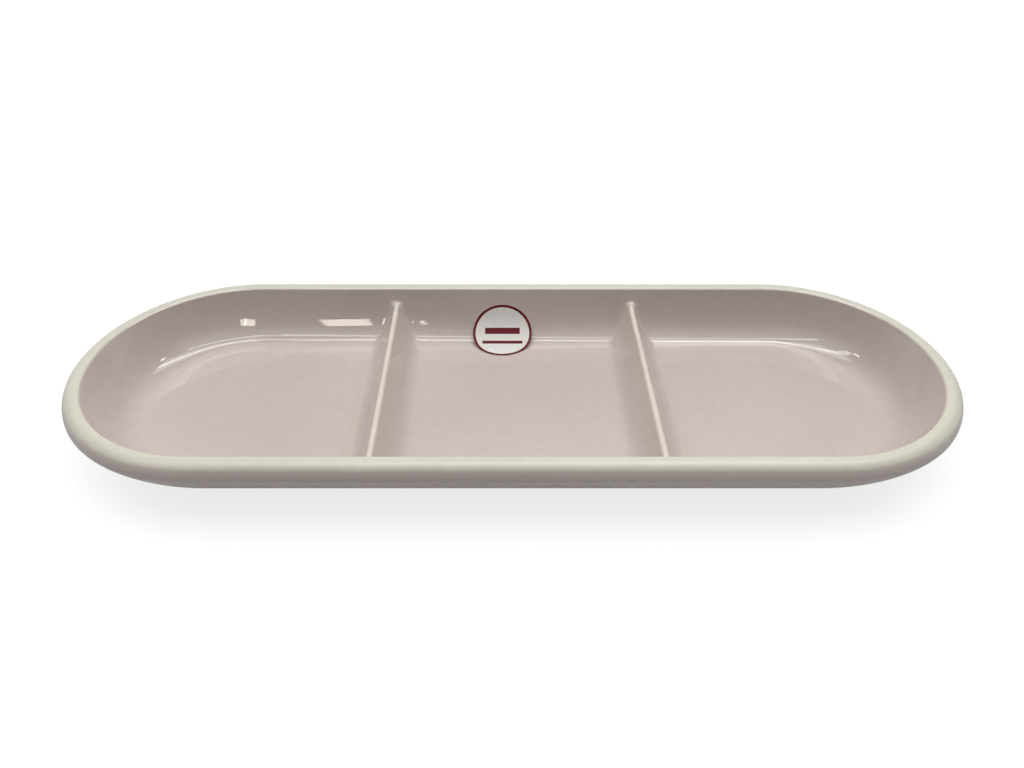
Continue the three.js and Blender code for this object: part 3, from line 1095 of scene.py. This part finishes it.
def round_coats():
    tree = carry_section_tree()
    places = np.linspace(-straight_half, straight_half, STRAIGHT_STEPS + 1)
    steps = outline(places[1:-1])
    verts = [(
        (base + dx * outer_radius) * MM, dy * outer_radius * MM, 0.0,
    ) for base, dx, dy in steps]
    guide_mesh = bpy.data.meshes.new("outline_guide")
    guide_mesh.from_pydata(verts, [], [])
    guide = bpy.data.objects.new("outline_guide", guide_mesh)
    bpy.context.scene.collection.objects.link(guide)
    jobs = (
        ("clay_tray", clay_section(), bare_stoneware),
        ("rim_band", rim_section(), cream_glaze),
        ("outer_coat", outer_section(), outer_mauve),
        ("base_coat", base_section(), outer_mauve),
    )
    made = {}
    for name, (section, edge), finish in jobs:
        made[name] = carried(name, tree, guide, section, edge, finish)
    bpy.data.objects.remove(guide)
    bpy.data.meshes.remove(guide_mesh)
    bpy.data.node_groups.remove(tree)
    return made


# Paper label, bent over the cove of the centre well

LABEL_RINGS = 14
LABEL_STEPS = 96


def label_path(run):
    """Where the sheet lies: flat, then bent over the cove, then up."""
    rising = bowl_table[:, 1] > floor_top + JUST_ABOVE
    radii = np.interp(
        [LABEL_WALL_HEIGHT, LABEL_WALL_HEIGHT + LABEL_LEAN_STEP],
        bowl_table[rising, 1], bowl_table[rising, 0],
    )
    lean = math.atan2(LABEL_LEAN_STEP, radii[1] - radii[0])
    corner = radii[0] - (LABEL_WALL_HEIGHT - floor_top) / math.tan(lean)
    start = corner - LABEL_BEND * math.tan(lean / 2)
    turn = np.clip((run - start) / LABEL_BEND, 0.0, lean)
    before = np.minimum(run, start)
    after = np.maximum(run - start - LABEL_BEND * lean, 0.0)
    y = before + LABEL_BEND * np.sin(turn) + after * math.cos(lean)
    z = floor_top + LABEL_BEND * (1 - np.cos(turn)) + after * math.sin(lean)
    wall = np.interp(z, bowl_table[rising, 1], bowl_table[rising, 0])
    y = np.where(z > floor_top + JUST_ABOVE, np.minimum(y, wall), y)
    return y, z, turn


def paper_label():
    radii = np.linspace(0.0, LABEL_RADIUS, LABEL_RINGS + 1)[1:]
    angles = np.arange(LABEL_STEPS) * 2 * math.pi / LABEL_STEPS
    flat_x = np.concatenate([[0.0], np.outer(radii, np.cos(angles)).ravel()])
    flat_y = np.concatenate([[0.0], np.outer(radii, np.sin(angles)).ravel()])
    y, z, turn = label_path(LABEL_MIDDLE + flat_y)
    ground = np.stack([LABEL_X + flat_x, y, z], axis=-1)
    normals = np.stack([
        np.zeros_like(turn), -np.sin(turn), np.cos(turn),
    ], axis=-1)
    points = ground + (LABEL_LIFT + LABEL_THICKNESS) * normals
    faces = []
    for j in range(LABEL_STEPS):
        k = (j + 1) % LABEL_STEPS
        faces.append((0, 1 + j, 1 + k))
        for i in range(LABEL_RINGS - 1):
            low = 1 + i * LABEL_STEPS
            high = low + LABEL_STEPS
            faces.append((low + j, high + j, high + k, low + k))
    marks = {"label_across": flat_x, "label_up": flat_y}
    return coat(
        "paper_label", points, normals, faces, LABEL_THICKNESS, marks,
        label_paper,
    )


# Putting the pieces on the frame

STANDS_FOR = {
    "clay_tray": ("tray_body", "clay"),
    "well_coat_left": ("well_glaze_left", "mauve_glaze"),
    "well_coat_centre": ("well_glaze_centre", "mauve_glaze"),
    "well_coat_right": ("well_glaze_right", "mauve_glaze"),
    "ridge_line_left": ("ridge_glaze_left", "cream_glaze"),
    "ridge_line_right": ("ridge_glaze_right", "cream_glaze"),
    "rim_band": ("rim_glaze", "cream_glaze"),
    "outer_coat": ("outer_glaze", "mauve_glaze"),
    "base_coat": ("base_glaze", "mauve_glaze"),
    "paper_label": ("round_label", "label_paper"),
}


def dress_frame():
    pieces = {**inside_coats(), **round_coats()}
    pieces["paper_label"] = paper_label()
    for name, (node, slot) in STANDS_FOR.items():
        piece = pieces[name]
        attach(piece, "root")
        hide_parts(node)
    for node in ("divider_left", "divider_right"):
        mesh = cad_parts[node].data
        mesh.materials.clear()
        mesh.materials.append(bare_stoneware)


dress_frame()


# Floor, backdrop and light

FLOOR_REACH = 4.0
FLOOR_DROP = 0.0001
FLOOR_GLOW_SEEN = 0.8
FLOOR_GLOW_FAR = 1.0
FLOOR_GLOW_REACH = (0.5, 1.5)
FLOOR_GLOW_MIRRORED = 0.25
FLOOR_TONE = 0.67
FLOOR_TONE_SEEN = 0.26


def ray_kinds(tree, x, y):
    """1 for rays from the camera, and 1 for reflections and clear matter."""
    path = put(tree, "ShaderNodeLightPath", x, y)
    mirrored = maths(
        tree, "MAXIMUM", path.outputs["Is Glossy Ray"],
        path.outputs["Is Transmission Ray"], x + 200, y,
    )
    return path.outputs["Is Camera Ray"], mirrored


def pale_floor():
    mesh = bpy.data.meshes.new("pale_floor")
    r = FLOOR_REACH
    z = -FLOOR_DROP
    mesh.from_pydata(
        [(-r, -r, z), (r, -r, z), (r, r, z), (-r, r, z)], [], [(0, 1, 2, 3)],
    )
    finish = bpy.data.materials.new("pale_floor")
    finish.use_nodes = True
    tree = finish.node_tree
    tree.nodes.clear()
    camera, mirrored = ray_kinds(tree, -900, 0)
    seen = maths(tree, "MAXIMUM", camera, mirrored, -500, 200)
    tone = ranged(
        tree, seen, (0.0, 1.0), (FLOOR_TONE, FLOOR_TONE_SEEN), -300, 200,
    )
    matt = put(tree, "ShaderNodeBsdfDiffuse", -100, 200)
    join(tree, tone, matt.inputs["Color"])
    glow = put(tree, "ShaderNodeEmission", -100, 0)
    coords = put(tree, "ShaderNodeTexCoord", -1300, -300)
    away = put(
        tree, "ShaderNodeVectorMath", -1100, -300, operation="LENGTH",
    )
    join(tree, coords.outputs["Object"], away.inputs[0])
    white = ranged(
        tree, away.outputs["Value"], FLOOR_GLOW_REACH,
        (FLOOR_GLOW_SEEN, FLOOR_GLOW_FAR), -900, -300, "SMOOTHSTEP",
    )
    direct = maths(tree, "MULTIPLY", camera, white, -500, 0)
    second = maths(
        tree, "MULTIPLY", mirrored, FLOOR_GLOW_MIRRORED, -500, -150,
    )
    level = maths(tree, "ADD", direct, second, -300, 0)
    join(tree, level, glow.inputs["Strength"])
    both = put(tree, "ShaderNodeAddShader", 100, 100)
    join(tree, matt.outputs[0], both.inputs[0])
    join(tree, glow.outputs[0], both.inputs[1])
    result = put(tree, "ShaderNodeOutputMaterial", 300, 100)
    join(tree, both.outputs[0], result.inputs["Surface"])
    floor = add_object("pale_floor", mesh, finish)


BACK_FILL = 1.08
TOP_FILL = 0.37
WHITE_SKIRT = 0.8
ROOM_TONE = 0.065
WHITE_UP_TO = math.sin(math.radians(3))
ROOM_FROM = math.sin(math.radians(12))
FRONT_GLOW = 1.1
FRONT_GLOW_HEIGHT = (0.45, 0.75)
FRONT_GLOW_REACH = (0.0, 0.35)


def studio_world():
    """Soft light from behind and above. The glaze mirrors a dim room with
    a white skirt and a glow high up in front."""
    world = bpy.data.worlds.new("studio")
    world.use_nodes = True
    tree = world.node_tree
    tree.nodes.clear()
    camera, mirrored = ray_kinds(tree, -900, 0)
    coords = put(tree, "ShaderNodeTexCoord", -1100, 300)
    way = split(tree, coords.outputs["Generated"], -900, 300)
    behind = maths(tree, "MAXIMUM", way["Y"], 0.0, -700, 500)
    behind = maths(tree, "MULTIPLY", behind, BACK_FILL, -500, 500)
    above = maths(tree, "MAXIMUM", way["Z"], 0.0, -700, 350)
    above = maths(tree, "MULTIPLY", above, above, -600, 350)
    above = maths(tree, "MULTIPLY", above, TOP_FILL, -500, 350)
    fill = maths(tree, "ADD", behind, above, -350, 400)
    room = ranged(
        tree, way["Z"], (WHITE_UP_TO, ROOM_FROM), (WHITE_SKIRT, ROOM_TONE),
        -500, 200,
    )
    front = maths(tree, "MULTIPLY", way["Y"], -1.0, -700, -150)
    front = ranged(
        tree, front, FRONT_GLOW_REACH, (0.0, FRONT_GLOW), -500, -150,
        "SMOOTHSTEP",
    )
    high = ranged(
        tree, way["Z"], FRONT_GLOW_HEIGHT, (0.0, 1.0), -500, -350,
        "SMOOTHSTEP",
    )
    front = maths(tree, "MULTIPLY", front, high, -300, -200)
    room = maths(tree, "ADD", room, front, -300, 100)
    seen = maths(tree, "MAXIMUM", camera, mirrored, -600, 0)
    unseen = maths(tree, "SUBTRACT", 1.0, seen, -500, 0)
    fill = maths(tree, "MULTIPLY", fill, unseen, -200, 400)
    room = maths(tree, "MULTIPLY", room, mirrored, -200, 200)
    level = maths(tree, "ADD", fill, room, -50, 300)
    level = maths(tree, "ADD", level, camera, 100, 200)
    sky = put(tree, "ShaderNodeBackground", 300, 0)
    sky.inputs["Color"].default_value = (1.0, 1.0, 1.0, 1.0)
    join(tree, level, sky.inputs["Strength"])
    result = put(tree, "ShaderNodeOutputWorld", 500, 0)
    join(tree, sky.outputs[0], result.inputs["Surface"])
    bpy.context.scene.world = world


WHITE = (1.0, 1.0, 1.0)
WINDOW_TINT = (1.0, 0.95, 0.82)


def lamp(
    name, place, aim, size, power, role, turn=0.0, piece=None, tint=WHITE,
):
    """An area lamp. Where a piece is named, only that one mirrors it."""
    data = bpy.data.lights.new(name, "AREA")
    data.shape = "RECTANGLE"
    data.size, data.size_y = size
    data.energy = power
    data.color = tint
    item = bpy.data.objects.new(name, data)
    item.location = place
    look = Vector(aim) - Vector(place)
    spin = Quaternion((0.0, 0.0, 1.0), math.radians(turn))
    facing = look.to_track_quat("-Z", "Y") @ spin
    item.rotation_euler = facing.to_euler()
    item.visible_camera = False
    item.visible_glossy = role != "light"
    item.visible_diffuse = role != "sheen"
    bpy.context.scene.collection.objects.link(item)
    if piece:
        group = bpy.data.collections.new(name)
        group.objects.link(bpy.data.objects[piece])
        item.light_linking.receiver_collection = group


studio_world()
pale_floor()
lamp(
    "overhead_softbox", place=(0.0, 0.12, 1.2), aim=(0.0, 0.12, 0.0),
    size=(2.5, 1.1), power=17.4, role="light",
)
lamp(
    "ceiling_panel", place=(0.15, 0.15, 1.0), aim=(0.15, 0.15, 0.0),
    size=(1.0, 0.44), power=4.4, role="sheen", turn=20.0,
)
lamp(
    "ceiling_tube", place=(-0.08, 0.08, 0.97), aim=(-0.08, 0.08, 0.0),
    size=(1.45, 0.12), power=3.7, role="sheen", turn=18.0,
)
lamp(
    "bright_panel", place=(0.38, 0.36, 0.95), aim=(0.38, 0.36, 0.0),
    size=(0.36, 0.22), power=1.75, role="sheen", turn=20.0,
    piece="well_coat_right",
)
lamp(
    "front_tube", place=(0.02, -0.34, 0.95), aim=(0.02, -0.34, 0.0),
    size=(1.0, 0.1), power=1.75, role="sheen", turn=26.0,
)
lamp(
    "left_panel", place=(-0.86, -0.04, 0.94), aim=(0.0, 0.0, 0.0),
    size=(0.1, 0.1), power=0.35, role="sheen",
)
lamp(
    "right_panel", place=(0.82, 0.10, 0.94), aim=(0.0, 0.0, 0.0),
    size=(0.1, 0.1), power=0.35, role="sheen",
)
lamp(
    "low_window", place=(-0.1131, -0.158, 0.1265), aim=(-0.064, 0.042, 0.012),
    size=(0.0317, 0.0308), power=0.035, role="sheen",
    piece="well_coat_left", tint=WINDOW_TINT,
)
lamp(
    "small_window", place=(-0.028, -1.306, 0.785), aim=(-0.105, 0.041, 0.012),
    size=(0.124, 0.205), power=0.83, role="sheen",
    piece="well_coat_left", tint=WINDOW_TINT,
)
lamp(
    "slim_window", place=(-0.208, -1.306, 0.788), aim=(-0.036, 0.042, 0.012),
    size=(0.01, 0.14), power=0.065, role="sheen",
    piece="well_coat_centre", tint=WINDOW_TINT,
)


# Camera, as fitted to the photographed view of the rim

CAMERA_PLACE = (-0.8494, -215.3618, 181.0654)
CAMERA_RIGHT = (0.999998, -0.0014526, 0.0013897)
CAMERA_FORWARD = (0.0019998, 0.7893826, -0.6138984)
CAMERA_LENS = 27.442
CAMERA_SENSOR = 36.0
CAMERA_NEAR = 0.01


def place_camera():
    data = bpy.data.cameras.new("view")
    data.sensor_fit = "HORIZONTAL"
    data.sensor_width = CAMERA_SENSOR
    data.lens = CAMERA_LENS
    data.clip_start = CAMERA_NEAR
    camera = bpy.data.objects.new("view", data)
    right = Vector(CAMERA_RIGHT).normalized()
    forward = Vector(CAMERA_FORWARD).normalized()
    up = right.cross(forward)
    turn = Matrix((right, up, -forward)).transposed()
    place = Matrix.Translation(Vector(CAMERA_PLACE) * MM)
    camera.matrix_world = place @ turn.to_4x4()
    bpy.context.scene.collection.objects.link(camera)
    bpy.context.scene.camera = camera


place_camera()
bpy.context.scene.view_settings.view_transform = "Standard"
